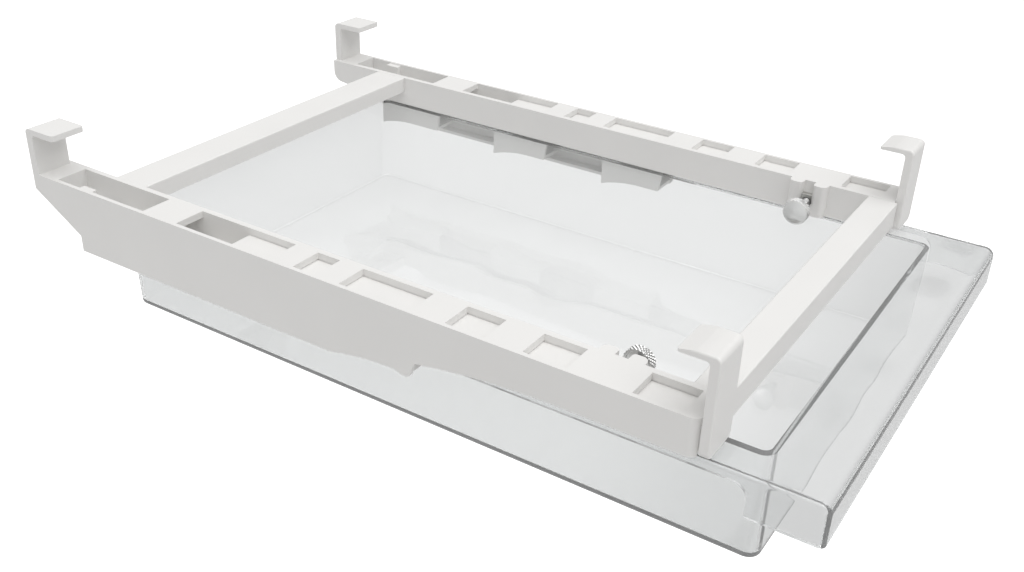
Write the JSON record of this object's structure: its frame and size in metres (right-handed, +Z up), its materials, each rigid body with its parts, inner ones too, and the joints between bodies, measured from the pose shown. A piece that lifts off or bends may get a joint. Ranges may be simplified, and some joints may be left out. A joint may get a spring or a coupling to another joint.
{
  "type": "under-shelf pull-out egg holder",
  "caption": "Clear pull-out egg drawer hung below a shelf by a white hook-on frame, with clamped sliding front hooks.",
  "frame": {"origin": "middle of the front crossbar's flat top, which lies against the shelf's underside", "axes": "+Z up, +Y towards the back of the shelf, +X to the right; the drawer opens towards -Y"},
  "size_m": [0.285, 0.474, 0.1119],
  "materials": {
    "white_plastic": "satin moulded",
    "clear_plastic": "clear, polished mould",
    "nickel_plate": "bright nickel plate",
    "zinc_plate": "zinc plate"
  },
  "bodies": {
    "frame": {"left_rail": "white_plastic", "right_rail": "white_plastic", "front_crossbar": "white_plastic", "rear_crossbar": "white_plastic", "left_clamp_nut": "zinc_plate", "right_clamp_nut": "zinc_plate"},
    "drawer_body": {"drawer": "clear_plastic"},
    "left_slider_body": {"left_slider": "white_plastic"},
    "right_slider_body": {"right_slider": "white_plastic"},
    "left_screw_body": {"left_clamp_screw": "nickel_plate"},
    "right_screw_body": {"right_clamp_screw": "nickel_plate"}
  },
  "joints": [
    {"name": "drawer_slide", "type": "slide", "parent": "frame", "child": "drawer_body", "axis": [0, -1, 0], "range_m": [0, 0.2]},
    {"name": "left_slider_slide", "type": "slide", "parent": "frame", "child": "left_slider_body", "axis": [0, -1, 0], "range_m": [0, 0.09]},
    {"name": "left_screw_turn", "type": "hinge", "parent": "frame", "child": "left_screw_body", "pos_m": [-0.1, 0.043, -0.0125], "axis": [1, 0, 0], "continuous": true},
    {"name": "right_slider_slide", "type": "slide", "parent": "frame", "child": "right_slider_body", "axis": [0, -1, 0], "range_m": [0, 0.09]},
    {"name": "right_screw_turn", "type": "hinge", "parent": "frame", "child": "right_screw_body", "pos_m": [0.1, 0.043, -0.0125], "axis": [1, 0, 0], "continuous": true}
  ]
}
